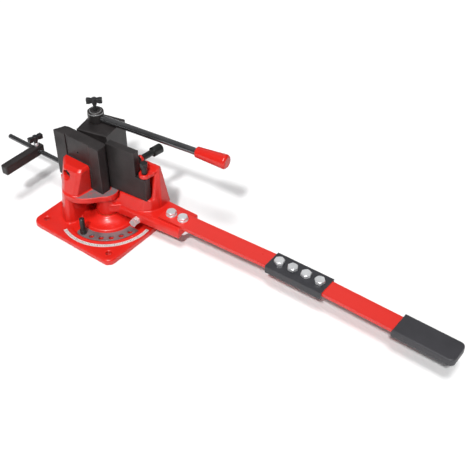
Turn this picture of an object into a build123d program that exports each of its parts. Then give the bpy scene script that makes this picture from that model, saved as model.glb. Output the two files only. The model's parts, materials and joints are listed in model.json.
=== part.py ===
"""Manual bench bender: a cast base with a fixed jaw and an eccentric clamp jaw, and a swing arm
that carries the pressure plate and a bolted two-piece handle.  Millimetres, +Z up.  The origin is
the middle of the base's mounting holes, on the flat underside.  The swing pivot stands upright at
(pivot_x, pivot_y), and "along" and "across" are measured in the arm's own frame from that pivot."""
import os
from math import cos, radians, sin

from build123d import *

os.makedirs("parts", exist_ok=True)

# ---- base plate and its mounting holes
plate_len = 200.0
plate_depth = 200.0
plate_t = 12.0
plate_corner_r = 16.0
plate_edge_r = 4.0
mount_spacing = 160.0
mount_hole_d = 11.0

# ---- swing pivot
pivot_x = 7.0
pivot_y = -2.0
pivot_pin_d = 18.0
bush_wall = 3.0
running_gap = 0.05            # radial gap of a turning fit
face_gap = 0.2                # gap between flat faces of bodies that move on each other
thrust_t = 1.2
retainer_d = 41.0
retainer_t = 3.0
retainer_screw_d = 5.0
retainer_screw_ring = 14.5

# ---- foot boss round the pivot, index plate and angle scale
foot_disc_r = 51.0
foot_disc_top = 17.0
foot_sweep_r = 24.0
boss_r = 24.0
boss_top = 28.0
index_inner_r = 53.0
index_outer_r = 75.0
index_t = 3.0
index_proud = 1.0
index_hole_ring = 67.0
index_hole_count = 6
index_hole_step = 16.0
index_first_angle = -91.0
index_end_margin = 11.0
index_corner_r = 7.0
ridge_r = 78.0
ridge_w = 3.0
ridge_h = 1.4
scale_r = 88.0
scale_w = 6.5
scale_t = 0.8
scale_start = -114.0
scale_end = 8.0

# ---- deck, pillar and column of the casting (outlines are measured from the pivot)
deck_top = 76.0
deck_t = 12.0
deck_nose_r = 25.0
column_top = 130.0
brow_z = 125.0
rear_wall_back = 92.0
rear_wall_left = -99.0
rear_wall_right = -36.0
rear_corner_r = 14.0

# ---- fixed jaw
jaw_h = 99.0
jaw_t = 24.0
nose_r = 8.0
jaw_left = -104.0
jaw_left_skew = 9.0
jaw_recess = 1.5
jaw_recess_from = -76.0
jaw_recess_to = -15.0
jaw_groove_w = 2.6
jaw_groove_depth = 3.4
jaw_edge = 1.0
jaw_screw_d = 10.0
jaw_screw_x = -51.0
jaw_screw_z = 112.0
jaw_screw_head_d = 16.0
jaw_screw_head_h = 10.0
jaw_screw_gap = 0.25
jaw_screw_grip = 12.0
gauge_hole_d = 4.5
gauge_hole_x = -47.0
gauge_hole_z = 146.0
dowel_d = 8.0
dowel_places = (-68.0, -22.0)
dowel_depth = 14.0

# ---- stop pin in the index plate
stop_pin_d = 10.0
stop_pin_collar_d = 12.6
stop_pin_collar_h = 8.0
stop_pin_top = 48.0

# ---- material stop on its rod
rod_d = 9.5
rod_len = 151.0
rod_z = 90.0
rod_y = -4.0
rod_thread = 18.0
stop_block_w = 16.0
stop_block_h = 20.0
stop_block_front = 84.0
stop_block_back = 12.0
stop_block_x = -177.0
stop_block_edge = 3.0
knob_stem_d = 7.0
knob_len = 30.0
knob_w = 9.0
knob_h = 12.0
knob_stem_h = 11.0

# ---- eccentric clamp
clamp_x = -61.5
clamp_y = 53.5
clamp_throw = 2.5
clamp_angle = 13.5
clamp_left = 19.5
clamp_right = 43.0
clamp_skew = 4.5              # the right side leans out this far towards the back
clamp_front = 40.0
clamp_back = 23.5
clamp_edge = 1.2
journal_d = 20.0
lobe_d = 24.0
lobe_gap = 0.8
clamp_bush_wall = 2.5
hub_d = 30.6
hub_over_jaw = 21.5           # hub top above the jaws
hub_gap = 0.3
hub_ring_h = 3.0
shaft_foot = 18.0
shaft_drain_d = 12.0

# ---- clamp lever
lever_over_jaw = 8.0          # lever axis above the jaws
lever_angle = 6.8
lever_d = 13.0
lever_tail = 13.0
lever_rod_len = 262.0
grip_from = 220.5
grip_to = 283.5
grip_d = 20.0
grip_end_d = 27.0
grip_end_r = 5.5
lever_knob_angle = 42.0
stop_knob_angle = 80.0

# ---- swing arm casting, in the arm's frame
arm_angle = 5.2
arm_hub_r = 21.5
arm_bottom = 32.0
arm_top = 53.5
arm_plate_t = 17.5
slot_floor = 50.0
arm_front = -4.3
arm_back = 57.0
arm_end = 165.4
arm_end_skew = 6.6
pad_top = 76.2
wall_front = 31.5
wall_from = 45.0
web_half_w = 7.0
upright_top = 141.0
pocket_end_gap = 2.5
ear_r = 10.5
ear_bottom = 123.6
ear_top = 131.5

# ---- pressure plate
plate_face = 9.0
press_from = 3.0
press_to = 66.0
press_foot_to = 87.6
press_t = 14.0
press_step_z = 123.0
press_edge = 0.8

# ---- adjusting screw behind the pressure plate
screw_z = 148.0
screw_at = 59.7
screw_lean = 77.2
screw_d = 11.5
screw_boss_d = 15.5
screw_boss_from = 7.4
screw_boss_to = 12.6
screw_neck = 39.0
screw_head_d = 18.4
screw_head_l = 20.0
screw_socket_af = 10.0
screw_socket_depth = 9.0

# ---- hold-down bolt through the ear
hold_at = 79.3
hold_across = 19.7
hold_d = 11.0
hold_head_d = 13.0
hold_head_h = 8.0
hold_top = 154.0

# ---- stop bolt on the arm's front
stop_bolt_at = 72.0
stop_bolt_z = 36.0
stop_bolt_d = 8.0
stop_bolt_af = 13.0
stop_bolt_head = 5.3
stop_bolt_reach = 8.5
stop_nut_t = 6.5
stop_bolt_depth = 16.0
stop_boss_r = 8.5

# ---- handle: two flat bars joined by a bolted channel sleeve
bar_w = 35.0
bar_t = 7.0
bar_gap = 0.8
bar_root = 116.0
bar_anchor_at = 146.0
bar_anchor_across = 21.3
bar_yaw = -2.1
handle_bolt_d = 10.0
handle_bolt_af = 17.0
handle_bolt_head = 6.4
handle_nut_t = 8.0
bolt_gap = 0.5
washer_d = 20.0
washer_t = 2.0
arm_bolt_pitch = 26.0
sleeve_at = 260.0
sleeve_shift = -1.4
sleeve_yaw = -2.0
sleeve_len = 113.0
sleeve_w = 42.4
sleeve_h = 15.5
sleeve_wall = 2.0
sleeve_bolt_pitch = 27.0
sleeve_bolt_count = 4
bar_butt_gap = 2.5
outer_bar_yaw = -1.3
grip_cap_from = 191.0
grip_cap_len = 108.0
grip_cap_w = 46.5
grip_cap_t = 15.0
grip_cap_wall_end = 7.0
grip_cap_corner_r = 10.0
grip_cap_edge = 2.5
cap_gap = 0.1

# ---- worked-out heights and frames
jaw_top = deck_top + jaw_h
hub_top = jaw_top + hub_over_jaw
lever_z = jaw_top + lever_over_jaw
press_bottom = deck_top + face_gap + 0.3
press_top = jaw_top
jaw_back = nose_r
jaw_front = jaw_back - jaw_t
jaw_middle = (jaw_front + jaw_back) / 2
screw_seat = jaw_front - jaw_screw_grip
bush_d = pivot_pin_d + 2 * bush_wall

pivot_frame = Plane(origin=(pivot_x, pivot_y, 0))
arm_frame = Plane(pivot_frame.location * Location((0, 0, 0), (0, 0, arm_angle)))
clamp_frame = Plane(pivot_frame.location * Location((clamp_x, clamp_y, 0), (0, 0, clamp_angle)))
lever_frame = Plane(pivot_frame.location * Location((clamp_x, clamp_y, 0), (0, 0, lever_angle)))
bar_place = Location((bar_anchor_at, bar_anchor_across, slot_floor), (0, 0, bar_yaw))
bar_frame = Plane(arm_frame.location * bar_place)
sleeve_frame = Plane(bar_frame.location * Location((sleeve_at, sleeve_shift, 0), (0, 0, sleeve_yaw)))
outer_frame = Plane(sleeve_frame.location * Location((0, 0, 0), (0, 0, outer_bar_yaw)))
shaft_frame = Plane(pivot_frame.location * Location((clamp_x, clamp_y, 0)))
journal_frame = Plane(pivot_frame.location * Location((clamp_x - clamp_throw, clamp_y, 0)))


def local(frame, x, y, z, yaw=0.0):
    """A plane at a place in another plane's frame, turned about its Z."""
    return Plane(frame.location * Location((x, y, z), (0, 0, yaw)))


def facing(frame, x, y, z, heading):
    """A plane whose normal is level, along a heading in the frame; its Y is upward."""
    turn = radians(heading)
    spot = Vector(frame.from_local_coords((x, y, z)))
    ahead = Vector(frame.from_local_coords((x + cos(turn), y + sin(turn), z))) - spot
    aside = Vector(frame.from_local_coords((x - sin(turn), y + cos(turn), z))) - spot
    return Plane(origin=spot, x_dir=aside, z_dir=ahead)


def save(part, name):
    """Label one finished piece and write it."""
    part.label = name
    export_step(part, f"parts/{name}.step")


def round_bar(frame, diameter, z_from, z_to):
    """An upright solid cylinder between two heights, added to the part being built."""
    with BuildSketch(frame.offset(z_from)) as disc:
        Circle(diameter / 2)
    extrude(disc.sketch, amount=z_to - z_from)


def round_hole(frame, diameter, z_from, z_to):
    """An upright round hole between two heights."""
    with BuildSketch(frame.offset(z_from)) as disc:
        Circle(diameter / 2)
    extrude(disc.sketch, amount=z_to - z_from, mode=Mode.SUBTRACT)


def outline(frame, z, points):
    """A closed polygon face at a height."""
    with BuildSketch(frame.offset(z)) as flat:
        with BuildLine():
            Polyline(*points, close=True)
        make_face()
    return flat.sketch


def on_ring(radius, angle):
    """A point on a circle round the pivot."""
    return (radius * cos(radians(angle)), radius * sin(radians(angle)))


index_angles = [index_first_angle + index_hole_step * i for i in range(index_hole_count)]

# ================================================================ base casting
foot_outline = ((-103, -14), (-103, -24), (-64, -58), (-50, -65), (-42, -63), (-36, -52), (-36, -14))
knee_outline = ((-95, -14), (-95, -23), (-60, -54), (-51, -58), (-44, -57), (-39, -50), (-39, -14))
hip_outline = ((-95, -16), (-95, -23), (-60, -54), (-51, -58), (-35, -58), (-26, -52), (-21, -16))
brow_outline = ((-81, -16), (-81, -22), (-61, -41), (-56, -43.5), (-25, -42), (-18.5, -37), (-18, -16))
top_outline = ((-78, -16), (-78, -18), (-59, -36), (-56, -37), (-27, -36), (-22, -33), (-21, -16))
index_start = index_angles[0] - index_end_margin
index_end = index_angles[-1] + index_end_margin


def ring_sector(radius, start, end):
    """Everything outside the wedge from start to end, to be taken off a ring; call it in a sketch."""
    with BuildLine() as edge:
        Polyline((0, 0), on_ring(radius, start), (-radius, -40), (-radius, radius), (radius, radius),
                 on_ring(radius, end), close=True)
    make_face(edge.line, mode=Mode.SUBTRACT)


def cut_index_seat():
    """The annular seat of the index plate, taken off the part being built."""
    with BuildSketch(pivot_frame.offset(plate_t + index_proud - index_t)) as seat:
        Circle(index_outer_r + 0.3)
        Circle(index_inner_r - 0.3, mode=Mode.SUBTRACT)
        ring_sector(130, index_start - 0.4, index_end + 0.4)
    extrude(seat.sketch, amount=index_t + 0.2, mode=Mode.SUBTRACT)


with BuildPart() as base_plate:
    with BuildSketch():
        RectangleRounded(plate_len, plate_depth, plate_corner_r)
    extrude(amount=plate_t)
    fillet(base_plate.edges().group_by(Axis.Z)[-1], plate_edge_r)
    # thin ridge between the index plate and the scale
    with BuildSketch(pivot_frame.offset(plate_t - 1)):
        Circle(ridge_r + ridge_w / 2)
        Circle(ridge_r - ridge_w / 2, mode=Mode.SUBTRACT)
        ring_sector(130, scale_start - 1, scale_end)
    extrude(amount=1 + ridge_h)
    # pivot bore, retainer recess and its screw holes
    round_hole(pivot_frame, pivot_pin_d + 2 * running_gap, 0, plate_t)
    round_hole(pivot_frame, retainer_d + 1.0, 0, retainer_t + 0.5)
    for spot in range(3):
        x, y = on_ring(retainer_screw_ring, 90 + 120 * spot)
        round_hole(local(pivot_frame, x, y, 0), retainer_screw_d + 0.2, 0, plate_t)
    cut_index_seat()
    for angle in index_angles:
        x, y = on_ring(index_hole_ring, angle)
        round_hole(local(pivot_frame, x, y, 0), stop_pin_d + 2 * running_gap, 0, plate_t)
    # holes for the base's own bolts, and the drain below the eccentric shaft
    with BuildSketch():
        with GridLocations(mount_spacing, mount_spacing, 2, 2):
            Circle(mount_hole_d / 2)
    extrude(amount=plate_t + 1, mode=Mode.SUBTRACT)
    round_hole(journal_frame, shaft_drain_d, 0, plate_t)
save(base_plate.part, "base_plate")

with BuildPart() as base:
    # stepped, dished foot of the pivot boss
    with BuildSketch(Plane(origin=(pivot_x, pivot_y, 0), x_dir=(1, 0, 0), z_dir=(0, -1, 0))):
        with BuildLine():
            Line((0, plate_t), (foot_disc_r, plate_t))
            Line((foot_disc_r, plate_t), (foot_disc_r, foot_disc_top - 2))
            Line((foot_disc_r, foot_disc_top - 2), (foot_disc_r - 2, foot_disc_top))
            Line((foot_disc_r - 2, foot_disc_top), (foot_disc_r - 7, foot_disc_top))
            RadiusArc((foot_disc_r - 7, foot_disc_top), (boss_r, boss_top), foot_sweep_r)
            Line((boss_r, boss_top), (0, boss_top))
            Line((0, boss_top), (0, plate_t))
        make_face()
    revolve(axis=Axis((pivot_x, pivot_y, 0), (0, 0, 1)))
    # front leg up to the deck, and the column above it with its sloping brow
    loft([outline(pivot_frame, plate_t, foot_outline), outline(pivot_frame, deck_top - deck_t, knee_outline)])
    loft([outline(pivot_frame, deck_top - deck_t, hip_outline), outline(pivot_frame, brow_z, brow_outline)])
    loft([outline(pivot_frame, brow_z, brow_outline), outline(pivot_frame, column_top, top_outline)])
    # rear wall under the clamp jaw
    with BuildSketch(pivot_frame.offset(plate_t)):
        with BuildLine():
            Polyline((rear_wall_left, -20), (rear_wall_right, -20), (rear_wall_right, rear_wall_back),
                     (rear_wall_left, rear_wall_back), close=True)
        make_face()
        fillet(vertices().sort_by(Axis.Y)[-2:], rear_corner_r)
    extrude(amount=deck_top - plate_t)
    # deck: a nose round the pivot, flaring forward to the column and back under the clamp jaw
    with BuildSketch(pivot_frame.offset(deck_top - deck_t)):
        nose_a = on_ring(deck_nose_r, -52)
        nose_b = on_ring(deck_nose_r, 62)
        with BuildLine():
            Spline((-34, -57.5), (-16, -51), (4, -32.5), nose_a, tangents=((1, 0.05), (1, 0.78)))
            RadiusArc(nose_a, nose_b, -deck_nose_r)
            Polyline(nose_b, (-8, 34), (-8, rear_wall_back - 2), (rear_wall_left + 2, rear_wall_back - 2),
                     (rear_wall_left + 2, -18), (-60, -54), (-52, -57.5), (-34, -57.5))
        make_face()
    extrude(amount=deck_t)
    # pivot bore, screw holes and index plate seat
    round_hole(pivot_frame, pivot_pin_d + 2 * running_gap, plate_t, deck_top)
    for spot in range(3):
        x, y = on_ring(retainer_screw_ring, 90 + 120 * spot)
        round_hole(local(pivot_frame, x, y, 0), retainer_screw_d + 0.2, plate_t, plate_t + 4)
    cut_index_seat()
    # counterbored hole for the jaw screw, dowel holes in the deck, seat of the eccentric's bush
    with BuildSketch(facing(pivot_frame, jaw_screw_x, jaw_front - 60, jaw_screw_z, 90)):
        Circle(jaw_screw_head_d / 2 + 1)
    extrude(amount=60 - jaw_screw_grip, mode=Mode.SUBTRACT)
    with BuildSketch(facing(pivot_frame, jaw_screw_x, jaw_front - 60, jaw_screw_z, 90)):
        Circle(jaw_screw_d / 2 + bolt_gap)
    extrude(amount=61, mode=Mode.SUBTRACT)
    for x in dowel_places:
        round_hole(local(pivot_frame, x, jaw_middle, 0), dowel_d + 0.2, deck_top - 10, deck_top)
    round_hole(journal_frame, journal_d + 2 * bush_wall, shaft_foot, deck_top)
    round_hole(journal_frame, shaft_drain_d, plate_t, shaft_foot)
save(base.part, "base_casting")

# ================================================================ index plate and angle scale
with BuildPart() as index_plate:
    with BuildSketch(pivot_frame.offset(plate_t + index_proud - index_t)):
        Circle(index_outer_r)
        Circle(index_inner_r, mode=Mode.SUBTRACT)
        ring_sector(130, index_start, index_end)
        for angle in index_angles:
            with Locations(on_ring(index_hole_ring, angle)):
                Circle(stop_pin_d / 2 + running_gap, mode=Mode.SUBTRACT)
    extrude(amount=index_t)
    upright_edges = index_plate.edges().filter_by(Axis.Z).filter_by(lambda e: e.length > index_t - 0.1)
    outer_corner = pivot_frame.from_local_coords((*on_ring(index_outer_r, index_start), plate_t))
    fillet(upright_edges.sort_by_distance(outer_corner)[0], index_corner_r)
save(index_plate.part, "index_plate")

with BuildPart() as scale:
    with BuildSketch(pivot_frame.offset(plate_t)):
        Circle(scale_r + scale_w / 2)
        Circle(scale_r - scale_w / 2, mode=Mode.SUBTRACT)
        ring_sector(130, scale_start, scale_end)
    extrude(amount=scale_t)
save(scale.part, "angle_scale")

# ================================================================ pivot
with BuildPart() as pivot_pin:
    round_bar(pivot_frame, pivot_pin_d, retainer_t + 0.5, deck_top - 0.2)
    chamfer(pivot_pin.edges().group_by(Axis.Z)[-1], 1)
save(pivot_pin.part, "pivot_pin")

with BuildPart() as retainer:
    round_bar(pivot_frame, retainer_d, 0.3, 0.3 + retainer_t)
    for spot in range(3):
        x, y = on_ring(retainer_screw_ring, 90 + 120 * spot)
        round_hole(local(pivot_frame, x, y, 0), retainer_screw_d + 0.6, 0, retainer_t + 1)
        round_hole(local(pivot_frame, x, y, 0), retainer_screw_d + 4.4, 0, 0.3 + retainer_t / 2)
save(retainer.part, "pivot_retainer")

with BuildPart() as retainer_screws:
    for spot in range(3):
        x, y = on_ring(retainer_screw_ring, 90 + 120 * spot)
        round_bar(local(pivot_frame, x, y, 0), retainer_screw_d + 4, 0.5, 0.3 + retainer_t / 2)
        round_bar(local(pivot_frame, x, y, 0), retainer_screw_d, 0.3 + retainer_t / 2, plate_t + 2)
save(retainer_screws.part, "retainer_screws")

with BuildPart() as thrust_washers:
    for z_from in (boss_top, deck_top - deck_t - thrust_t):
        with BuildSketch(pivot_frame.offset(z_from)):
            Circle(arm_hub_r - 1)
            Circle(pivot_pin_d / 2 + 0.2, mode=Mode.SUBTRACT)
        extrude(amount=thrust_t)
save(thrust_washers.part, "thrust_washers")

hub_bottom = boss_top + thrust_t + face_gap
hub_ceiling = deck_top - deck_t - thrust_t - face_gap
with BuildPart() as pivot_bush:
    with BuildSketch(pivot_frame.offset(hub_bottom)):
        Circle(bush_d / 2)
        Circle(pivot_pin_d / 2 + running_gap, mode=Mode.SUBTRACT)
    extrude(amount=hub_ceiling - hub_bottom)
save(pivot_bush.part, "pivot_bush")

# ================================================================ fixed jaw
with BuildPart() as fixed_jaw:
    with BuildSketch(pivot_frame.offset(deck_top)):
        with BuildLine():
            Polyline((0, jaw_back), (jaw_left + 18, jaw_back), (jaw_left + jaw_left_skew, jaw_back - 2.5),
                     (jaw_left, jaw_front), (nose_r, jaw_front), (nose_r, 0))
            RadiusArc((0, jaw_back), (nose_r, 0), nose_r)
        make_face()
    extrude(amount=jaw_h)
    # shallow relief of the front face and the groove beside it
    with BuildSketch(pivot_frame.offset(deck_top)):
        with BuildLine():
            Polyline((jaw_recess_from, jaw_front - 1), (jaw_recess_from, jaw_front + jaw_groove_depth),
                     (jaw_recess_from + jaw_groove_w, jaw_front + jaw_recess),
                     (jaw_recess_to - 3, jaw_front + jaw_recess), (jaw_recess_to, jaw_front - 1), close=True)
        make_face()
    extrude(amount=jaw_h, mode=Mode.SUBTRACT)
    chamfer(fixed_jaw.edges().group_by(Axis.Z)[-1], jaw_edge)
    # land that bears on the column
    with BuildSketch(pivot_frame.offset(deck_top)):
        with BuildLine():
            Polyline((jaw_recess_from, jaw_front), (jaw_recess_from, jaw_front + 4), (-17, jaw_front + 4),
                     (-17, jaw_front), close=True)
        make_face()
    extrude(amount=column_top - deck_top)
    with BuildSketch(facing(pivot_frame, jaw_screw_x, jaw_front, jaw_screw_z, 90)):
        Circle(jaw_screw_d / 2 + jaw_screw_gap)
    extrude(amount=17, mode=Mode.SUBTRACT)
    with BuildSketch(facing(pivot_frame, gauge_hole_x, jaw_front, gauge_hole_z, 90)):
        Circle(gauge_hole_d / 2)
    extrude(amount=10, mode=Mode.SUBTRACT)
    with BuildSketch(facing(pivot_frame, jaw_left, rod_y, rod_z, 0)):
        Circle(rod_d / 2 + running_gap)
    extrude(amount=rod_thread + 6, mode=Mode.SUBTRACT)
    for x in dowel_places:
        round_hole(local(pivot_frame, x, jaw_middle, 0), dowel_d + 0.2, deck_top, deck_top + dowel_depth)
save(fixed_jaw.part, "fixed_jaw")

with BuildPart() as jaw_screw:
    with BuildSketch(facing(pivot_frame, jaw_screw_x, screw_seat - jaw_screw_head_h, jaw_screw_z, 90)):
        Circle(jaw_screw_head_d / 2)
    extrude(amount=jaw_screw_head_h)
    with BuildSketch(facing(pivot_frame, jaw_screw_x, screw_seat, jaw_screw_z, 90)):
        Circle(jaw_screw_d / 2)
    extrude(amount=jaw_screw_grip + 14)
    with BuildSketch(facing(pivot_frame, jaw_screw_x, screw_seat - jaw_screw_head_h, jaw_screw_z, 90)):
        RegularPolygon(4, 6, major_radius=False)
    extrude(amount=5, mode=Mode.SUBTRACT)
save(jaw_screw.part, "jaw_screw")

with BuildPart() as dowels:
    for x in dowel_places:
        round_bar(local(pivot_frame, x, jaw_middle, 0), dowel_d, deck_top - 9, deck_top + dowel_depth - 1)
save(dowels.part, "jaw_dowels")

# ================================================================ stop pin
pin_x, pin_y = on_ring(index_hole_ring, index_angles[0])
pin_frame = local(pivot_frame, pin_x, pin_y, 0)
pin_seat = plate_t + index_proud + 0.1
with BuildPart() as stop_pin:
    round_bar(pin_frame, stop_pin_d, 2, stop_pin_top)
    round_bar(pin_frame, stop_pin_collar_d, pin_seat, pin_seat + stop_pin_collar_h)
    chamfer(stop_pin.edges().group_by(Axis.Z)[-1], 1.2)
    chamfer(stop_pin.edges().group_by(Axis.Z)[0], 1)
save(stop_pin.part, "stop_pin")

# ================================================================ material stop
with BuildPart() as stop_rod:
    with BuildSketch(facing(pivot_frame, jaw_left - rod_len, rod_y, rod_z, 0)):
        Circle(rod_d / 2)
    extrude(amount=rod_len + rod_thread)
    fillet(stop_rod.edges().group_by(Axis.X)[0], 1.5)
save(stop_rod.part, "stop_rod")

block_frame = local(pivot_frame, stop_block_x, rod_y, rod_z)
with BuildPart() as stop_block:
    with BuildSketch(block_frame.offset(-stop_block_h / 2)):
        with BuildLine():
            Polyline((-stop_block_w / 2, -stop_block_front), (stop_block_w / 2, -stop_block_front),
                     (stop_block_w / 2, stop_block_back), (-stop_block_w / 2, stop_block_back), close=True)
        make_face()
    extrude(amount=stop_block_h)
    fillet(stop_block.edges(), stop_block_edge)
    with BuildSketch(facing(block_frame, -stop_block_w, 0, 0, 0)):
        Circle(rod_d / 2 + running_gap)
    extrude(amount=2 * stop_block_w, mode=Mode.SUBTRACT)
    round_hole(block_frame, knob_stem_d + 0.4, 0, stop_block_h)
save(stop_block.part, "material_stop")


def wing_knob(frame, stem_from, stem_to, yaw):
    """A moulded T-knob on a threaded stem, added to the part being built."""
    round_bar(frame, knob_stem_d, stem_from, stem_to + 1)
    round_bar(frame, knob_stem_d + 3, stem_to - knob_stem_h + 4, stem_to)
    with BuildSketch(local(frame, 0, 0, stem_to, yaw)) as wings:
        SlotOverall(knob_len, knob_w)
    extrude(wings.sketch, amount=knob_h)
    chamfer(edges(Select.LAST).group_by(Axis.Z)[-1], 1.8)


with BuildPart() as stop_knob:
    wing_knob(block_frame, rod_d / 2 + 0.3, stop_block_h / 2 + knob_stem_h, stop_knob_angle)
save(stop_knob.part, "stop_knob")

# ================================================================ eccentric clamp
with BuildPart() as shaft_bush:
    with BuildSketch(journal_frame.offset(shaft_foot)):
        Circle(journal_d / 2 + bush_wall)
        Circle(journal_d / 2 + running_gap, mode=Mode.SUBTRACT)
    extrude(amount=deck_top - shaft_foot - 0.2)
save(shaft_bush.part, "shaft_bush")

hub_bottom_z = jaw_top + hub_gap
lobe_r = lobe_d / 2
with BuildPart() as shaft:
    round_bar(journal_frame, journal_d, shaft_foot + 1, deck_top + 0.2)
    round_bar(shaft_frame, lobe_d, deck_top + 0.2, hub_bottom_z)
    round_bar(shaft_frame, hub_d, hub_bottom_z, hub_top - hub_ring_h)
    chamfer(shaft.edges().group_by(Axis.Z)[0], 1)
    with BuildSketch(facing(lever_frame, -hub_d, 0, lever_z, 0)):
        Circle(lever_d / 2 + running_gap)
    extrude(amount=2 * hub_d, mode=Mode.SUBTRACT)
    round_hole(shaft_frame, knob_stem_d + 0.4, lever_z, hub_top)
save(shaft.part, "eccentric_shaft")

with BuildPart() as hub_cap:
    with BuildSketch(shaft_frame.offset(hub_top - hub_ring_h)):
        Circle(hub_d / 2 - 0.4)
        Circle(knob_stem_d / 2 + 0.2, mode=Mode.SUBTRACT)
    extrude(amount=hub_ring_h)
    chamfer(hub_cap.edges().group_by(Axis.Z)[-1].sort_by(SortBy.LENGTH)[-1], 1.2)
save(hub_cap.part, "hub_cap")

with BuildPart() as clamp_bush:
    with BuildSketch(shaft_frame.offset(deck_top + 0.5)):
        Circle(lobe_r + lobe_gap + clamp_bush_wall)
        Circle(lobe_r + lobe_gap, mode=Mode.SUBTRACT)
    extrude(amount=jaw_h - 1)
save(clamp_bush.part, "clamp_bush")

with BuildPart() as clamp_jaw:
    with BuildSketch(clamp_frame.offset(deck_top + face_gap)):
        with BuildLine():
            Polyline((-clamp_left, -clamp_front), (clamp_right, -clamp_front),
                     (clamp_right + clamp_skew, clamp_back),
                     (-clamp_left, clamp_back), close=True)
        make_face()
    extrude(amount=jaw_h - face_gap)
    chamfer(clamp_jaw.edges(), clamp_edge)
    round_hole(clamp_frame, 2 * (lobe_r + lobe_gap + clamp_bush_wall + running_gap), deck_top, jaw_top)
save(clamp_jaw.part, "clamp_jaw")

with BuildPart() as lever_rod:
    with BuildSketch(facing(lever_frame, -lever_tail, 0, lever_z, 0)):
        Circle(lever_d / 2)
    extrude(amount=lever_rod_len)
    chamfer(lever_rod.edges(), 1)
save(lever_rod.part, "lever_rod")

with BuildPart() as lever_grip:
    grip_plane = Plane(lever_frame.location * Location((0, 0, lever_z), (90, 0, 0)))
    with BuildSketch(grip_plane):
        with BuildLine():
            Line((grip_from, 0), (grip_from, grip_d / 2 - 1))
            Line((grip_from, grip_d / 2 - 1), (grip_from + 1, grip_d / 2))
            Line((grip_from + 1, grip_d / 2), (grip_to - grip_end_r, grip_end_d / 2))
            RadiusArc((grip_to - grip_end_r, grip_end_d / 2), (grip_to, grip_end_d / 2 - grip_end_r),
                      grip_end_r)
            Line((grip_to, grip_end_d / 2 - grip_end_r), (grip_to, 0))
            Line((grip_to, 0), (grip_from, 0))
        make_face()
    revolve(axis=Axis(grip_plane.origin, grip_plane.x_dir))
    with BuildSketch(facing(lever_frame, -lever_tail, 0, lever_z, 0)):
        Circle(lever_d / 2 + 0.02)
    extrude(amount=lever_rod_len + 0.5, mode=Mode.SUBTRACT)
save(lever_grip.part, "lever_grip")

with BuildPart() as lever_knob:
    wing_knob(shaft_frame, lever_z + lever_d / 2 + 0.3, hub_top + knob_stem_h + 3.5, lever_knob_angle)
save(lever_knob.part, "lever_knob")

# ================================================================ swing arm
wall_back = arm_back + 2
pocket_end = press_foot_to + pocket_end_gap
pad_foot = ((22, -1), (70, -0.5), (84, 4), (95, 13), (102, 25), (104.5, 38), (104.5, arm_back),
            (20, arm_back - 20))
pad_crown = ((22, 6), (66, 7), (80, 8), (92, 15), (99, 26), (101, 38), (101, arm_back - 2),
             (20, arm_back - 22))
wall_foot = ((wall_from, wall_front), (104, wall_front), (104, wall_back), (wall_from, wall_back - 4))
wall_crown = ((62, 36), (99.5, 36), (99.5, 42), (64, 43))
cheek_foot = ((pocket_end, 16), (97, 18), (104, 36), (104, wall_back - 6), (pocket_end, wall_back - 6))
cheek_crown = ((pocket_end, 34), (94, 34), (99.5, 37), (99.5, 41), (pocket_end, 41))
ear_rib_foot = ((hold_at - ear_r + 1, 29), (95, 29), (99, 41), (66, 41))
ear_rib_crown = ((70, 38), (98, 37), (99, 41), (66, 41))
web_drop = pad_top - screw_z
screw_dir = (cos(radians(screw_lean)), sin(radians(screw_lean)))
press_back = plate_face + press_t
screw_tip = (screw_at, press_back + face_gap)
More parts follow.
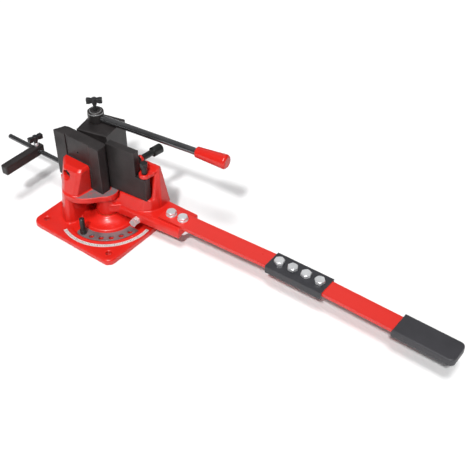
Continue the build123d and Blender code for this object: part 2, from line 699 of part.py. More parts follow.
with BuildPart() as arm:
    round_bar(arm_frame, 2 * arm_hub_r, hub_bottom, hub_ceiling)
    # body of the arm between its rails
    with BuildSketch(arm_frame.offset(arm_top - arm_plate_t)):
        with BuildLine():
            Polyline((0, -arm_hub_r + 1), (12, -17), (22, -11), (36, arm_front + 4), (arm_end, arm_front + 4),
                     (arm_end + arm_end_skew, 50), (106, arm_back - 2), (100, arm_back), (52, arm_back),
                     (20, 36), (0, arm_hub_r - 1), close=True)
        make_face()
    extrude(amount=arm_plate_t)
    # front rail with its bevelled upper edge
    with BuildSketch(facing(arm_frame, 24, 0, 0, 0)):
        with BuildLine():
            Polyline((arm_front, arm_bottom), (arm_front, arm_top - 9), (arm_front + 2, arm_top - 4),
                     (arm_front + 6, arm_top), (arm_front + 11, arm_top), (arm_front + 11, arm_bottom),
                     close=True)
        make_face()
    extrude(amount=arm_end - 24)
    # raised seat of the pressure plate, hollowed round the deck's nose
    loft([outline(arm_frame, arm_top - 1, pad_foot), outline(arm_frame, pad_top, pad_crown)])
    # wall behind the plate, tapering upward, and the cheek that closes its end
    loft([outline(arm_frame, arm_top, wall_foot), outline(arm_frame, upright_top, wall_crown)])
    loft([outline(arm_frame, arm_top, cheek_foot), outline(arm_frame, upright_top - 2, cheek_crown)])
    # ear over the foot of the plate, with a sloping rib up to the wall
    with BuildSketch(arm_frame.offset(ear_bottom)):
        with BuildLine():
            Polyline((hold_at - ear_r, hold_across), (hold_at + ear_r, hold_across), (96, 40), (66, 40),
                     close=True)
        make_face()
        with Locations((hold_at, hold_across)):
            Circle(ear_r)
    extrude(amount=ear_top - ear_bottom)
    loft([outline(arm_frame, ear_top - 1, ear_rib_foot), outline(arm_frame, upright_top, ear_rib_crown)])
    # web and boss of the adjusting screw
    boss_plane = facing(arm_frame, screw_tip[0] + screw_boss_from * screw_dir[0],
                        screw_tip[1] + screw_boss_from * screw_dir[1], screw_z, screw_lean)
    with BuildSketch(boss_plane):
        Circle(screw_boss_d / 2)
        with BuildLine():
            Polyline((-web_half_w, 0), (web_half_w, 0), (web_half_w, web_drop), (-web_half_w, web_drop),
                     close=True)
        make_face()
    extrude(amount=screw_boss_to - screw_boss_from)
    # bores and clearances
    round_hole(arm_frame, bush_d, hub_bottom, hub_ceiling)
    with BuildSketch(arm_frame.offset(hub_ceiling)):
        Circle(deck_nose_r + 3)
    extrude(amount=pad_top - hub_ceiling, mode=Mode.SUBTRACT)
    round_hole(local(arm_frame, hold_at, hold_across, 0), hold_d + 2 * running_gap, ear_bottom, ear_top)
    with BuildSketch(facing(arm_frame, *screw_tip, screw_z, screw_lean)):
        Circle(screw_d / 2 + running_gap)
    extrude(amount=60, mode=Mode.SUBTRACT)
    with BuildSketch(bar_frame):
        with BuildLine():
            Polyline((bar_root - bar_anchor_at, -bar_w / 2 - bar_gap), (60, -bar_w / 2 - bar_gap),
                     (60, bar_w / 2 + bar_gap), (bar_root - bar_anchor_at, bar_w / 2 + bar_gap), close=True)
        make_face()
    extrude(amount=10, mode=Mode.SUBTRACT)
    with BuildSketch(bar_frame.offset(-arm_plate_t)):
        with GridLocations(arm_bolt_pitch, 0, 2, 1):
            Circle(handle_bolt_d / 2 + bolt_gap)
    extrude(amount=arm_plate_t + 1, mode=Mode.SUBTRACT)
    # boss and hole of the stop bolt
    with BuildSketch(facing(arm_frame, stop_bolt_at, arm_front, stop_bolt_z, 90)):
        Circle(stop_boss_r)
    extrude(amount=stop_bolt_depth + 4)
    with BuildSketch(facing(arm_frame, stop_bolt_at, arm_front - 20, stop_bolt_z, 90)):
        Circle(stop_bolt_d / 2 + running_gap)
    extrude(amount=20 + stop_bolt_depth + 2, mode=Mode.SUBTRACT)
save(arm.part, "swing_arm")

# ================================================================ pressure plate and its screws
with BuildPart() as press:
    with BuildSketch(arm_frame.offset(press_bottom)):
        with BuildLine():
            Polyline((press_from, plate_face), (press_foot_to, plate_face), (press_foot_to, press_back),
                     (press_from, press_back), close=True)
        make_face()
    extrude(amount=press_step_z - press_bottom)
    with BuildSketch(arm_frame.offset(press_step_z)):
        with BuildLine():
            Polyline((press_from, plate_face), (press_to, plate_face), (press_to, press_back),
                     (press_from, press_back), close=True)
        make_face()
    extrude(amount=press_top - press_step_z)
    chamfer(press.edges().group_by(Axis.Z)[-1], press_edge)
save(press.part, "pressure_plate")

with BuildPart() as adjusting_screw:
    screw_plane = facing(arm_frame, *screw_tip, screw_z, screw_lean)
    with BuildSketch(screw_plane.offset(3)):
        Circle(screw_d / 2)
    extrude(amount=screw_neck)
    with BuildSketch(screw_plane.offset(0.8)):
        Circle(screw_d / 2 - 2.5)
    extrude(amount=2.2)
    with BuildSketch(screw_plane.offset(screw_neck)):
        Circle(screw_head_d / 2)
    extrude(amount=screw_head_l)
    rims = adjusting_screw.edges().filter_by(GeomType.CIRCLE)
    chamfer(rims.sort_by_distance(screw_plane.from_local_coords((0, 0, 200)))[0], 1.2)
    with BuildSketch(screw_plane.offset(screw_neck + screw_head_l - screw_socket_depth)):
        RegularPolygon(screw_socket_af / 2, 6, major_radius=False)
    extrude(amount=screw_socket_depth, mode=Mode.SUBTRACT)
save(adjusting_screw.part, "adjusting_screw")

hold_frame = local(arm_frame, hold_at, hold_across, 0)
with BuildPart() as hold_bolt:
    round_bar(hold_frame, hold_d, press_step_z + 0.1, hold_top - hold_head_h)
    with BuildSketch(hold_frame.offset(hold_top - hold_head_h)):
        RegularPolygon(hold_head_d / 2, 6, major_radius=False)
    extrude(amount=hold_head_h)
save(hold_bolt.part, "hold_down_bolt")

stop_bolt_face = arm_front - stop_bolt_reach - stop_bolt_head
with BuildPart() as stop_bolt:
    with BuildSketch(facing(arm_frame, stop_bolt_at, stop_bolt_face, stop_bolt_z, 90)):
        RegularPolygon(stop_bolt_af / 2, 6, major_radius=False)
    extrude(amount=stop_bolt_head)
    with BuildSketch(facing(arm_frame, stop_bolt_at, arm_front - stop_bolt_reach, stop_bolt_z, 90)):
        Circle(stop_bolt_d / 2)
    extrude(amount=stop_bolt_reach + stop_bolt_depth)
save(stop_bolt.part, "stop_bolt")

with BuildPart() as stop_nut:
    with BuildSketch(facing(arm_frame, stop_bolt_at, arm_front - stop_nut_t, stop_bolt_z, 90)):
        RegularPolygon(stop_bolt_af / 2, 6, major_radius=False, rotation=20)
        Circle(stop_bolt_d / 2 + 0.02, mode=Mode.SUBTRACT)
    extrude(amount=stop_nut_t)
save(stop_nut.part, "stop_bolt_nut")

# ================================================================ handle
root_x = bar_root - bar_anchor_at + 1
with BuildPart() as inner_bar:
    with BuildSketch(bar_frame):
        with BuildLine():
            Polyline((root_x, -bar_w / 2), (sleeve_at - bar_butt_gap / 2, -bar_w / 2),
                     (sleeve_at - bar_butt_gap / 2, bar_w / 2), (root_x, bar_w / 2), close=True)
        make_face()
        with GridLocations(arm_bolt_pitch, 0, 2, 1):
            Circle(handle_bolt_d / 2 + bolt_gap, mode=Mode.SUBTRACT)
    extrude(amount=bar_t)
    with BuildSketch(sleeve_frame):
        with GridLocations(sleeve_bolt_pitch, 0, sleeve_bolt_count, 1):
            Circle(handle_bolt_d / 2 + bolt_gap)
    extrude(amount=bar_t, mode=Mode.SUBTRACT)
save(inner_bar.part, "handle_bar_inner")

bar_end = grip_cap_from + grip_cap_len
with BuildPart() as outer_bar:
    with BuildSketch(outer_frame):
        with BuildLine():
            Polyline((bar_butt_gap / 2, -bar_w / 2), (bar_end - grip_cap_wall_end, -bar_w / 2),
                     (bar_end - grip_cap_wall_end, bar_w / 2), (bar_butt_gap / 2, bar_w / 2), close=True)
        make_face()
    extrude(amount=bar_t)
    with BuildSketch(sleeve_frame):
        with GridLocations(sleeve_bolt_pitch, 0, sleeve_bolt_count, 1):
            Circle(handle_bolt_d / 2 + bolt_gap)
    extrude(amount=bar_t, mode=Mode.SUBTRACT)
save(outer_bar.part, "handle_bar_outer")

with BuildPart() as sleeve:
    with BuildSketch(sleeve_frame.offset(bar_t + sleeve_wall - sleeve_h)):
        Rectangle(sleeve_len, sleeve_w)
    extrude(amount=sleeve_h)
    top_edges = sleeve.edges().group_by(Axis.Z)[-1].filter_by(lambda e: e.length > sleeve_len - 1)
    fillet(top_edges, sleeve_wall)
    with BuildSketch(sleeve_frame.offset(bar_t + sleeve_wall - sleeve_h)):
        Rectangle(sleeve_len, sleeve_w - 2 * sleeve_wall)
    extrude(amount=sleeve_h - sleeve_wall, mode=Mode.SUBTRACT)
    with BuildSketch(sleeve_frame):
        with GridLocations(sleeve_bolt_pitch, 0, sleeve_bolt_count, 1):
            Circle(handle_bolt_d / 2 + bolt_gap)
    extrude(amount=bar_t + sleeve_wall, mode=Mode.SUBTRACT)
save(sleeve.part, "handle_sleeve")


def bolt_row(frame, spots, head_z, nut_z):
    """Hex bolts hanging from their heads, in a row along a frame's X."""
    with BuildSketch(frame.offset(head_z)) as heads:
        with Locations(*spots):
            RegularPolygon(handle_bolt_af / 2, 6, major_radius=False)
    extrude(heads.sketch, amount=handle_bolt_head)
    with BuildSketch(frame.offset(nut_z - handle_nut_t - 2)) as shanks:
        with Locations(*spots):
            Circle(handle_bolt_d / 2)
    extrude(shanks.sketch, amount=head_z - nut_z + handle_nut_t + 2)


def nut_row(frame, spots, nut_z):
    """Hex nuts below a row of bolts."""
    with BuildSketch(frame.offset(nut_z - handle_nut_t)) as nuts:
        with Locations(*spots):
            RegularPolygon(handle_bolt_af / 2, 6, major_radius=False)
        with Locations(*spots):
            Circle(handle_bolt_d / 2 + 0.02, mode=Mode.SUBTRACT)
    extrude(nuts.sketch, amount=handle_nut_t)


arm_spots = [((i - 0.5) * arm_bolt_pitch, 0) for i in range(2)]
sleeve_spots = [((i - (sleeve_bolt_count - 1) / 2) * sleeve_bolt_pitch, 0) for i in range(sleeve_bolt_count)]
floor_below = slot_floor - (arm_top - arm_plate_t)
with BuildPart() as arm_bolts:
    bolt_row(bar_frame, arm_spots, bar_t + washer_t, -floor_below)
save(arm_bolts.part, "arm_bolts")

with BuildPart() as arm_washers:
    with BuildSketch(bar_frame.offset(bar_t)):
        with Locations(*arm_spots):
            Circle(washer_d / 2)
        with Locations(*arm_spots):
            Circle(handle_bolt_d / 2 + bolt_gap, mode=Mode.SUBTRACT)
    extrude(amount=washer_t)
save(arm_washers.part, "arm_washers")

with BuildPart() as arm_nuts:
    nut_row(bar_frame, arm_spots, -floor_below)
save(arm_nuts.part, "arm_nuts")

with BuildPart() as sleeve_bolts:
    bolt_row(sleeve_frame, sleeve_spots, bar_t + sleeve_wall, 0)
save(sleeve_bolts.part, "sleeve_bolts")

with BuildPart() as sleeve_nuts:
    nut_row(sleeve_frame, sleeve_spots, 0)
save(sleeve_nuts.part, "sleeve_nuts")

pocket_half = bar_w / 2 + cap_gap
pocket_far = bar_end - grip_cap_wall_end + cap_gap
with BuildPart() as end_grip:
    with BuildSketch(outer_frame.offset(bar_t / 2 - grip_cap_t / 2)):
        with BuildLine():
            Polyline((grip_cap_from, -grip_cap_w / 2), (bar_end, -grip_cap_w / 2), (bar_end, grip_cap_w / 2),
                     (grip_cap_from, grip_cap_w / 2), close=True)
        make_face()
        fillet(vertices().sort_by(lambda v: outer_frame.to_local_coords(v).X)[-2:], grip_cap_corner_r)
    extrude(amount=grip_cap_t)
    fillet(end_grip.edges().group_by(Axis.Z)[-1], grip_cap_edge)
    fillet(end_grip.edges().group_by(Axis.Z)[0], grip_cap_edge)
    with BuildSketch(outer_frame.offset(-cap_gap)):
        with BuildLine():
            Polyline((grip_cap_from - 1, -pocket_half), (pocket_far, -pocket_half), (pocket_far, pocket_half),
                     (grip_cap_from - 1, pocket_half), close=True)
        make_face()
    extrude(amount=bar_t + 2 * cap_gap, mode=Mode.SUBTRACT)
save(end_grip.part, "end_grip")
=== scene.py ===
"""Looks of the bench bender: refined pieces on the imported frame, procedural finishes, soft studio light."""

import json
from math import cos, pi, radians, sin, tan

import bmesh
import bpy
from mathutils import Matrix, Vector


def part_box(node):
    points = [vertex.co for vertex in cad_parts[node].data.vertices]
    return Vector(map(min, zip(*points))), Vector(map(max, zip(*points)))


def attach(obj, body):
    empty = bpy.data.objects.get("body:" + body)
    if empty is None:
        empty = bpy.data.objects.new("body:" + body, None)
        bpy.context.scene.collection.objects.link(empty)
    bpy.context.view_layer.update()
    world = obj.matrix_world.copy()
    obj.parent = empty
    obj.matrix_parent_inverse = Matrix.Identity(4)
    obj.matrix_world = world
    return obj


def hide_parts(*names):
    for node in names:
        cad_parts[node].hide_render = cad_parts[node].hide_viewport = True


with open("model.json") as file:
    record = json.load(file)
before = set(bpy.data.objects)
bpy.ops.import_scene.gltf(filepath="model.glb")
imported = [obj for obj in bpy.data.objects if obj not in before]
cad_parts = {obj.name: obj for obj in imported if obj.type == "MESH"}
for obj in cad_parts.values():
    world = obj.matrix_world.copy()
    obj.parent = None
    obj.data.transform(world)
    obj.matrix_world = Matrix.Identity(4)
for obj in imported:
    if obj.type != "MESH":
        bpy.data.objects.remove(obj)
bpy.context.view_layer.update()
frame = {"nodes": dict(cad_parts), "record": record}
MM = 0.001

# ---- places shared with the frame, in metres
PIVOT = Vector((7.0, -2.0, 0.0)) * MM

# ---- camera: a 36 mm wide picture, seen from the front right and above
CAMERA_PLACE = Vector((968.6, -867.1, 1072.9)) * MM
CAMERA_AHEAD = Vector((-0.4564, 0.5987, -0.6583))
CAMERA_LENS = 66.44


def camera():
    """The main view."""
    data = bpy.data.cameras.new("camera")
    data.lens = CAMERA_LENS
    data.sensor_width = 36.0
    data.clip_end = 20.0
    thing = bpy.data.objects.new("camera", data)
    thing.rotation_euler = CAMERA_AHEAD.to_track_quat("-Z", "Y").to_euler()
    thing.location = CAMERA_PLACE
    bpy.context.collection.objects.link(thing)
    bpy.context.scene.camera = thing


def area_light(name, place, target, size, watts):
    """A square softbox aimed at a point."""
    data = bpy.data.lights.new(name, "AREA")
    data.size = size
    data.energy = watts
    thing = bpy.data.objects.new(name, data)
    thing.location = place
    thing.rotation_euler = (Vector(target) - Vector(place)).to_track_quat("-Z", "Y").to_euler()
    bpy.context.collection.objects.link(thing)


def sun_light(name, towards, width, strength):
    """An even light from one direction, as wide as some degrees of sky."""
    data = bpy.data.lights.new(name, "SUN")
    data.energy = strength
    data.angle = radians(width)
    thing = bpy.data.objects.new(name, data)
    thing.rotation_euler = (-towards).to_track_quat("-Z", "Y").to_euler()
    bpy.context.collection.objects.link(thing)


def studio():
    """Sky that brightens upwards, two suns, one weak panel and a white floor."""
    scene = bpy.context.scene
    scene.view_settings.view_transform = "Standard"
    world = bpy.data.worlds.new("studio")
    scene.world = world
    world.use_nodes = True
    sky = world.node_tree.nodes["Background"]
    sky.inputs["Color"].default_value = (0.97, 0.98, 1.0, 1.0)
    where = world.node_tree.nodes.new("ShaderNodeTexCoord")
    height = world.node_tree.nodes.new("ShaderNodeSeparateXYZ")
    world.node_tree.links.new(where.outputs["Generated"], height.inputs["Vector"])
    climb = world.node_tree.nodes.new("ShaderNodeMath")
    climb.operation = "POWER"
    climb.use_clamp = True
    climb.inputs[1].default_value = 2.0
    world.node_tree.links.new(height.outputs["Z"], climb.inputs[0])
    level = world.node_tree.nodes.new("ShaderNodeMapRange")
    level.inputs["To Min"].default_value = 0.04
    level.inputs["To Max"].default_value = 0.32
    world.node_tree.links.new(climb.outputs["Value"], level.inputs["Value"])
    world.node_tree.links.new(level.outputs["Result"], sky.inputs["Strength"])
    centre = Vector((0.25, 0.02, 0.05))
    sun_light("key", Vector((0.342, -0.745, 1.0)), 5.0, 2.4)
    sun_light("overhead", Vector((0.15, -0.30, 1.0)), 14.0, 1.65)
    area_light("sheen", centre + Vector((-1.0, 1.32, 1.45)), centre, 1.5, 2.5)
    mesh = bpy.data.meshes.new("floor")
    shape = bmesh.new()
    bmesh.ops.create_grid(shape, x_segments=2, y_segments=2, size=20.0)
    shape.to_mesh(mesh)
    shape.free()
    floor = bpy.data.objects.new("floor", mesh)
    bpy.context.collection.objects.link(floor)
    floor.data.materials.append(finish("floor_white", (0.86, 0.86, 0.86), rough=0.7, grain=0.0))


# ---------------------------------------------------------------- finishes
GRAIN_SCALE = 900.0
GLOSS_SPREAD = 0.08
CUT_LEVEL = 0.985             # how nearly level a face is before it counts as machined
DECK_LOW = 74.6 * MM
DECK_HIGH = 76.8 * MM


def finish(name, colour, rough=0.4, metal=0.0, coat=0.0, grain=0.15, bump=0.0, bump_scale=1200.0,
           edge=None, edge_width=0.0006, edge_amount=0.6):
    """A procedural finish: mottled colour, uneven gloss, fine bump, soft lighter edges that are partly rubbed
    wear and partly a painted highlight.
    """
    material = bpy.data.materials.new(name)
    material.use_nodes = True
    tree = material.node_tree
    shader = tree.nodes["Principled BSDF"]
    shader.inputs["Metallic"].default_value = metal
    shader.inputs["Coat Weight"].default_value = coat
    shader.inputs["Coat Roughness"].default_value = 0.12
    where = tree.nodes.new("ShaderNodeTexCoord")
    fine = tree.nodes.new("ShaderNodeTexNoise")
    fine.inputs["Scale"].default_value = GRAIN_SCALE
    fine.inputs["Detail"].default_value = 4.0
    tree.links.new(where.outputs["Object"], fine.inputs["Vector"])
    broad = tree.nodes.new("ShaderNodeTexNoise")
    broad.inputs["Scale"].default_value = 28.0
    broad.inputs["Detail"].default_value = 6.0
    tree.links.new(where.outputs["Object"], broad.inputs["Vector"])
    mottled = tree.nodes.new("ShaderNodeMix")
    mottled.data_type = "RGBA"
    darker = tuple(c * (1.0 - grain * 2.0) for c in colour)
    mottled.inputs["A"].default_value = (*darker, 1.0)
    mottled.inputs["B"].default_value = (*colour, 1.0)
    mix_by = tree.nodes.new("ShaderNodeMapRange")
    mix_by.inputs["From Min"].default_value = 0.35
    mix_by.inputs["From Max"].default_value = 0.6
    tree.links.new(broad.outputs["Fac"], mix_by.inputs["Value"])
    tree.links.new(mix_by.outputs["Result"], mottled.inputs["Factor"])
    last_colour = mottled.outputs["Result"]
    # lighter colour on rounded edges: a painted highlight on the red enamel, the handle bars and the sleeve,
    # rubbed wear on the dark steel and oxide
    if edge:
        round_normal = tree.nodes.new("ShaderNodeBevel")
        round_normal.samples = 4
        round_normal.inputs["Radius"].default_value = edge_width
        flat_normal = tree.nodes.new("ShaderNodeNewGeometry")
        dot = tree.nodes.new("ShaderNodeVectorMath")
        dot.operation = "DOT_PRODUCT"
        tree.links.new(round_normal.outputs["Normal"], dot.inputs[0])
        tree.links.new(flat_normal.outputs["Normal"], dot.inputs[1])
        mark_source = tree.nodes.new("ShaderNodeMapRange")
        mark_source.inputs["From Min"].default_value = 0.985
        mark_source.inputs["From Max"].default_value = 0.80
        mark_source.inputs["To Max"].default_value = edge_amount
        tree.links.new(dot.outputs["Value"], mark_source.inputs["Value"])
        edge_wear_and_highlight = tree.nodes.new("ShaderNodeMath")
        edge_wear_and_highlight.operation = "MULTIPLY"
        tree.links.new(mark_source.outputs["Result"], edge_wear_and_highlight.inputs[0])
        tree.links.new(fine.outputs["Fac"], edge_wear_and_highlight.inputs[1])
        rim = tree.nodes.new("ShaderNodeMix")
        rim.data_type = "RGBA"
        tree.links.new(edge_wear_and_highlight.outputs["Value"], rim.inputs["Factor"])
        tree.links.new(last_colour, rim.inputs["A"])
        rim.inputs["B"].default_value = (*edge, 1.0)
        last_colour = rim.outputs["Result"]
    tree.links.new(last_colour, shader.inputs["Base Color"])
    gloss = tree.nodes.new("ShaderNodeMapRange")
    gloss.inputs["To Min"].default_value = max(0.02, rough - GLOSS_SPREAD)
    gloss.inputs["To Max"].default_value = rough + GLOSS_SPREAD
    tree.links.new(broad.outputs["Fac"], gloss.inputs["Value"])
    tree.links.new(gloss.outputs["Result"], shader.inputs["Roughness"])
    if bump:
        pebble = tree.nodes.new("ShaderNodeTexNoise")
        pebble.inputs["Scale"].default_value = bump_scale
        pebble.inputs["Detail"].default_value = 3.0
        tree.links.new(where.outputs["Object"], pebble.inputs["Vector"])
        raised = tree.nodes.new("ShaderNodeBump")
        raised.inputs["Strength"].default_value = bump
        raised.inputs["Distance"].default_value = 0.0004
        tree.links.new(pebble.outputs["Fac"], raised.inputs["Height"])
        if edge:
            tree.links.new(round_normal.outputs["Normal"], raised.inputs["Normal"])
        tree.links.new(raised.outputs["Normal"], shader.inputs["Normal"])
    elif edge:
        tree.links.new(round_normal.outputs["Normal"], shader.inputs["Normal"])
    return material


def machined(material, low, high, colour):
    """Bare metal on the level faces between two heights, left by a facing cut through the enamel."""
    tree = material.node_tree
    shader = tree.nodes["Principled BSDF"]
    where = tree.nodes.new("ShaderNodeTexCoord")
    parts = tree.nodes.new("ShaderNodeSeparateXYZ")
    tree.links.new(where.outputs["Object"], parts.inputs["Vector"])
    facing = tree.nodes.new("ShaderNodeSeparateXYZ")
    surface = tree.nodes.new("ShaderNodeNewGeometry")
    tree.links.new(surface.outputs["Normal"], facing.inputs["Vector"])
    mark_source = tree.nodes.new("ShaderNodeTexNoise")
    mark_source.inputs["Scale"].default_value = 260.0
    mark_source.inputs["Detail"].default_value = 5.0
    tree.links.new(where.outputs["Object"], mark_source.inputs["Vector"])
    mask = None
    tests = ((parts, "GREATER_THAN", low), (parts, "LESS_THAN", high), (facing, "GREATER_THAN", CUT_LEVEL))
    for source, name, at in tests:
        test = tree.nodes.new("ShaderNodeMath")
        test.operation = name
        test.inputs[1].default_value = at
        tree.links.new(source.outputs["Z"], test.inputs[0])
        if mask:
            both = tree.nodes.new("ShaderNodeMath")
            both.operation = "MULTIPLY"
            tree.links.new(mask, both.inputs[0])
            tree.links.new(test.outputs["Value"], both.inputs[1])
            mask = both.outputs["Value"]
        else:
            mask = test.outputs["Value"]
    patchy = tree.nodes.new("ShaderNodeMapRange")
    patchy.inputs["From Min"].default_value = 0.3
    patchy.inputs["From Max"].default_value = 0.5
    patchy.inputs["To Min"].default_value = 0.55
    tree.links.new(mark_source.outputs["Fac"], patchy.inputs["Value"])
    share = tree.nodes.new("ShaderNodeMath")
    share.operation = "MULTIPLY"
    tree.links.new(mask, share.inputs[0])
    tree.links.new(patchy.outputs["Result"], share.inputs[1])
    under = shader.inputs["Base Color"].links[0].from_socket
    cut = tree.nodes.new("ShaderNodeMix")
    cut.data_type = "RGBA"
    tree.links.new(share.outputs["Value"], cut.inputs["Factor"])
    tree.links.new(under, cut.inputs["A"])
    cut.inputs["B"].default_value = (*colour, 1.0)
    tree.links.new(cut.outputs["Result"], shader.inputs["Base Color"])


ENAMEL = (0.64, 0.014, 0.008)
# The brighter red laid on the rounded edges of the red enamel and the handle bars is a painted highlight.
ENAMEL_EDGE_HIGHLIGHT = (0.80, 0.06, 0.04)
RED = finish("red_enamel", ENAMEL, rough=0.30, coat=0.35, grain=0.05, bump=0.35, bump_scale=420.0,
             edge=ENAMEL_EDGE_HIGHLIGHT, edge_width=0.0018, edge_amount=0.5)
RED_BAR = finish("red_bar", (0.66, 0.022, 0.014), rough=0.30, coat=0.15, grain=0.015,
                 bump=0.12, bump_scale=300.0, edge=ENAMEL_EDGE_HIGHLIGHT, edge_width=0.0008, edge_amount=0.5)
RED_PLASTIC = finish("red_plastic", (0.62, 0.016, 0.010), rough=0.22, grain=0.03, bump=0.05)
BLACK = finish("black_steel", (0.036, 0.031, 0.031), rough=0.44, metal=0.30, grain=0.2,
               bump=0.25, bump_scale=1500.0, edge=(0.16, 0.15, 0.15), edge_width=0.0012, edge_amount=0.8)
DARK_ROD = finish("dark_rod", (0.17, 0.17, 0.175), rough=0.24, metal=0.9, grain=0.1, bump=0.05)
BARE = finish("bare_steel", (0.30, 0.27, 0.28), rough=0.42, metal=0.6, grain=0.2,
              bump=0.15, bump_scale=1600.0, edge=(0.6, 0.6, 0.6), edge_width=0.0005)
ZINC = finish("zinc_steel", (0.82, 0.83, 0.84), rough=0.30, metal=0.6, grain=0.08,
              bump=0.08, bump_scale=900.0, edge=(0.9, 0.9, 0.9), edge_width=0.0006)
BRONZE = finish("bronze", (0.50, 0.33, 0.16), rough=0.4, metal=0.9, bump=0.1)
WHITE = finish("scale_white", (0.60, 0.57, 0.55), rough=0.45, grain=0.04)
# The sleeve's light grey edge colour is a painted highlight along its edges.
GREY = finish("grey_sleeve", (0.030, 0.030, 0.035), rough=0.34, grain=0.1, bump=0.25, bump_scale=1500.0,
              edge=(0.30, 0.30, 0.31), edge_width=0.0014, edge_amount=0.8)
PLASTIC = finish("black_plastic", (0.014, 0.014, 0.015), rough=0.42, grain=0.1, bump=0.3, bump_scale=1800.0,
                 edge=(0.06, 0.06, 0.062), edge_width=0.0015)

OXIDE = finish("black_oxide", (0.035, 0.037, 0.036), rough=0.34, metal=0.5, grain=0.15,
               bump=0.15, bump_scale=1400.0, edge=(0.14, 0.14, 0.14), edge_width=0.0008, edge_amount=0.7)
INK = finish("scale_ink", (0.12, 0.11, 0.11), rough=0.6, grain=0.1)
CAST = finish("cast_enamel", ENAMEL, rough=0.34, coat=0.12, grain=0.05, bump=0.4, bump_scale=330.0)
CAST_BASE = finish("cast_enamel_base", ENAMEL, rough=0.34, coat=0.12, grain=0.05, bump=0.4,
                   bump_scale=330.0)
machined(CAST_BASE, DECK_LOW, DECK_HIGH, (0.16, 0.14, 0.145))
RUBBER = finish("grip_rubber", (0.038, 0.037, 0.042), rough=0.48, grain=0.08, bump=0.35, bump_scale=1500.0,
                edge=(0.10, 0.10, 0.11), edge_width=0.0025)
BOLT_FLATS = 17.0 * MM
BOLT_HEAD = 6.4 * MM

LOOKS = {
    "red_enamel": RED, "black_steel": BLACK, "bare_steel": BARE, "zinc_steel": ZINC, "dark_rod": DARK_ROD,
    "bronze": BRONZE, "scale_white": WHITE, "grey_sleeve": GREY, "black_plastic": PLASTIC,
    "red_plastic": RED_PLASTIC,
}


def dress(thing, material):
    """One finish over a whole object."""
    slots = thing.material_slots
    if not slots:
        thing.data.materials.append(material)
    for slot in slots:
        slot.link = "OBJECT"
        slot.material = material


for part in frame["record"]["subparts"]:
    dress(frame["nodes"][part["node"]], LOOKS[part["material_slot"]])
for name in ("handle_bar_inner", "handle_bar_outer"):
    dress(frame["nodes"][name], RED_BAR)
dress(frame["nodes"]["end_grip"], RUBBER)
for name in ("stop_pin", "hold_down_bolt", "adjusting_screw"):
    dress(frame["nodes"][name], OXIDE)


# ---------------------------------------------------------------- pieces
def add_piece(name, mesh, material, body, nodes):
    """A finished mesh becomes a piece that rides a body and stands for CAD nodes."""
    piece = bpy.data.objects.new(name, mesh)
    bpy.context.collection.objects.link(piece)
    mesh.materials.clear()
    mesh.materials.append(material)
    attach(piece, body)
    if nodes:
        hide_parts(*nodes)


def soften(mesh, voxel, passes, keep=1.0):
    """A mesh's edges and inner corners rounded like a casting's: remeshed, smoothed and thinned out."""
    rough = bpy.data.objects.new("rough", mesh)
    bpy.context.collection.objects.link(rough)
    remesh = rough.modifiers.new("remesh", "REMESH")
    remesh.mode = "VOXEL"
    remesh.voxel_size = voxel
    smooth = rough.modifiers.new("smooth", "SMOOTH")
    smooth.factor = 0.5
    smooth.iterations = passes
    if keep < 1.0:
        thin = rough.modifiers.new("thin", "DECIMATE")
        thin.ratio = keep
    graph = bpy.context.evaluated_depsgraph_get()
    result = bpy.data.meshes.new_from_object(rough.evaluated_get(graph))
    bpy.data.objects.remove(rough)
    for face in result.polygons:
        face.use_smooth = True
    return result


def joined(names):
    """One mesh holding several CAD nodes, in the row frame."""
    shape = bmesh.new()
    for name in names:
        node = frame["nodes"][name]
        copy = node.data.copy()
        copy.transform(node.matrix_world)
        shape.from_mesh(copy)
        bpy.data.meshes.remove(copy)
    mesh = bpy.data.meshes.new("joined")
    shape.to_mesh(mesh)
    shape.free()
    return mesh


def castings():
    """The two red castings with the round edges and fillets of the foundry."""
    base = soften(joined(["base_plate", "base_casting"]), 1.15 * MM, 8, 0.45)
    add_piece("base_cast", base, CAST_BASE, "base", ["base_plate", "base_casting"])
    arm = soften(joined(["swing_arm"]), 1.0 * MM, 4, 0.5)
    add_piece("arm_cast", arm, CAST, "arm", ["swing_arm"])


def hex_radius(flats, angle):
    """Distance from a hexagon's middle to its rim."""
    wedge = (angle + pi / 6.0) % (pi / 3.0) - pi / 6.0
    return flats / 2.0 / cos(wedge)


def ring(shape, points):
    """A closed loop of vertices."""
    return [shape.verts.new(p) for p in points]


def bridge(shape, low, high):
    """Quads between two loops of the same length."""
    count = len(low)
    for i in range(count):
        j = (i + 1) % count
        shape.faces.new((low[i], low[j], high[j], high[i]))


def hex_head(shape, place, flats, height, turn, steps=48):
    """A forged hex head: chamfered corners, washer face below and a shallow dished top."""
    angles = [2.0 * pi * i / steps for i in range(steps)]

    def loop(radius_of, z_of):
        points = []
        for angle in angles:
            radius = radius_of(angle)
            spot = Vector((radius * cos(angle + turn), radius * sin(angle + turn), z_of(radius)))
            points.append(place @ spot)
        return ring(shape, points)

    flat_r = flats / 2.0
    crown = flat_r * 0.93
    under = loop(lambda a: flat_r * 0.97, lambda r: 0.0)
    collar = loop(lambda a: flat_r * 0.97, lambda r: 0.04 * flats)
    bottom = loop(lambda a: hex_radius(flats, a), lambda r: 0.045 * flats)
    shoulder = loop(lambda a: hex_radius(flats, a), lambda r: height - (r - crown) * tan(radians(30.0)))
    top = loop(lambda a: crown, lambda r: height)
    dish = loop(lambda a: crown * 0.80, lambda r: height - 0.012 * flats)
    for low, high in ((under, collar), (collar, bottom), (bottom, shoulder), (shoulder, top), (top, dish)):
        bridge(shape, low, high)
    shape.faces.new(dish)
    shape.faces.new(list(reversed(under)))


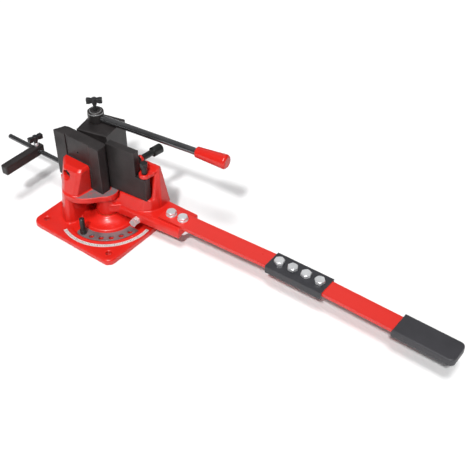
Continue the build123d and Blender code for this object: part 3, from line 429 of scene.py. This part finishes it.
def round_bar(shape, place, radius, low, high, steps=32):
    """A plain round shank with closed ends."""
    angles = [2.0 * pi * i / steps for i in range(steps)]
    ends = []
    for z in (low, high):
        ends.append(ring(shape, [place @ Vector((radius * cos(a), radius * sin(a), z)) for a in angles]))
    bridge(shape, ends[0], ends[1])
    shape.faces.new(list(reversed(ends[0])))
    shape.faces.new(ends[1])


def mesh_from(shape, name):
    """A bmesh turned into a mesh with outward normals."""
    bmesh.ops.recalc_face_normals(shape, faces=shape.faces)
    mesh = bpy.data.meshes.new(name)
    shape.to_mesh(mesh)
    shape.free()
    return mesh


def bolt_sets():
    """Hex bolts of the handle, on the axes of the CAD bolts."""
    for node, turns in (("arm_bolts", (0.35, 0.9)), ("sleeve_bolts", (0.1, 0.55, 0.3, 0.8))):
        shape = bmesh.new()
        for (low, high, middle), turn in zip(solid_boxes(node), turns):
            head_z = high - BOLT_HEAD
            place = Matrix.Translation(Vector((middle.x, middle.y, head_z)))
            hex_head(shape, place, BOLT_FLATS, BOLT_HEAD, turn)
            round_bar(shape, place, 5.0 * MM, low - head_z, 0.0)
        add_piece(node + "_forged", mesh_from(shape, node), ZINC, "arm", [node])


def solid_boxes(node):
    """(lowest z, highest z, middle) of each loose solid of a CAD node, from left to right."""
    thing = frame["nodes"][node]
    shape = bmesh.new()
    shape.from_mesh(thing.data)
    shape.transform(thing.matrix_world)
    bmesh.ops.remove_doubles(shape, verts=shape.verts, dist=1e-6)
    seen = set()
    found = []
    for start in shape.verts:
        if start in seen:
            continue
        group = []
        stack = [start]
        seen.add(start)
        while stack:
            vert = stack.pop()
            group.append(vert.co.copy())
            for edge in vert.link_edges:
                other = edge.other_vert(vert)
                if other not in seen:
                    seen.add(other)
                    stack.append(other)
        spans = [(min(p[i] for p in group), max(p[i] for p in group)) for i in range(3)]
        middle = Vector([(a + b) / 2.0 for a, b in spans])
        found.append((spans[2][0], spans[2][1], middle))
    shape.free()
    return sorted(found, key=lambda item: item[2].x)


# a knob's wing in mm: distance out, half width, underside and top below the knob's crown
WING_STATIONS = ((0.0, 3.6, -9.6, -0.9), (5.2, 3.4, -9.6, -1.5), (9.0, 4.3, -10.6, -0.9),
                 (14.6, 4.4, -10.4, -1.1))


def wing_knob(node, body, turn, metal, collar):
    """A moulded T-knob: a hub, two wings with a waist between, and the stem, with or without a collar."""
    low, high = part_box(node)
    middle = (Vector(low) + Vector(high)) / 2.0
    top = high[2]
    place = Matrix.Translation((middle.x, middle.y, top)) @ Matrix.Rotation(turn, 4, "Z")
    shape = bmesh.new()
    round_bar(shape, place, 4.9 * MM, -12.0 * MM, -0.4 * MM)
    round_bar(shape, place, 3.9 * MM, -15.5 * MM, -11.0 * MM)
    for side in (-1.0, 1.0):
        loops = []
        for out, half, under, over in WING_STATIONS:
            corners = ((-half, under), (half, under), (half, over), (-half, over))
            loops.append(ring(shape, [place @ (Vector((side * out, y, z)) * MM) for y, z in corners]))
        for near, far in zip(loops, loops[1:]):
            bridge(shape, near, far)
        shape.faces.new(loops[0])
        shape.faces.new(loops[-1])
    moulding = soften(mesh_from(shape, node), 0.4 * MM, 5, 0.6)
    add_piece(node + "_wings", moulding, PLASTIC, body, [node])
    shape = bmesh.new()
    round_bar(shape, place, 3.5 * MM, low[2] - top, -12.0 * MM)
    if collar:
        round_bar(shape, place, 4.6 * MM, low[2] - top + 6.0 * MM, low[2] - top + 10.5 * MM)
    add_piece(node + "_stem", mesh_from(shape, node + "_stem"), metal, body, [])


def hub_trim():
    """Thin bright zinc rings laid on the hub cap: one where it meets the hub, one round its middle."""
    low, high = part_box("hub_cap")
    middle = (Vector(low) + Vector(high)) / 2.0
    radius = (high[0] - low[0]) / 2.0
    steps = 64
    shape = bmesh.new()
    foot = (radius + 0.35 * MM, radius - 0.6 * MM, low[2] - 0.2 * MM, low[2] + 0.6 * MM)
    rim = (radius - 3.6 * MM, radius - 4.4 * MM, high[2] - 0.2 * MM, high[2] + 0.1 * MM)
    for outer, inner, bottom, top in (foot, rim):
        loops = []
        for reach, z in ((inner, bottom), (outer, bottom), (outer - 0.3 * MM, top), (inner, top)):
            loops.append(ring(shape, [Vector((middle.x + reach * cos(2.0 * pi * i / steps),
                                              middle.y + reach * sin(2.0 * pi * i / steps), z))
                                      for i in range(steps)]))
        for near, far in zip(loops, loops[1:] + loops[:1]):
            bridge(shape, near, far)
    add_piece("hub_trim", mesh_from(shape, "hub_trim"), ZINC, "clamp_shaft", [])


def scale_marks():
    """Raised strokes on the angle scale: short every 2 degrees, long every 10."""
    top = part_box("angle_scale")[1][2]
    shape = bmesh.new()
    for degree in range(-112, 8, 2):
        long_mark = degree % 10 == 0
        inner = 85.2 * MM if long_mark else 86.6 * MM
        outer = 90.4 * MM if long_mark else 89.4 * MM
        width = 0.42 * MM if long_mark else 0.3 * MM
        ahead = Vector((cos(radians(degree)), sin(radians(degree)), 0.0))
        aside = Vector((-ahead.y, ahead.x, 0.0)) * width
        base = PIVOT + Vector((0.0, 0.0, top - 0.3 * MM))
        corners = [base + ahead * inner - aside, base + ahead * outer - aside, base + ahead * outer + aside,
                   base + ahead * inner + aside]
        lower = ring(shape, corners)
        upper = ring(shape, [c + Vector((0.0, 0.0, 0.36 * MM)) for c in corners])
        bridge(shape, lower, upper)
        shape.faces.new(upper)
        shape.faces.new(list(reversed(lower)))
    add_piece("scale_marks", mesh_from(shape, "scale_marks"), INK, "base", [])


castings()
bolt_sets()
wing_knob("lever_knob", "lever_lock", radians(42.0), OXIDE, False)
wing_knob("stop_knob", "gauge_lock", radians(80.0), ZINC, True)
hub_trim()
scale_marks()

camera()
studio()
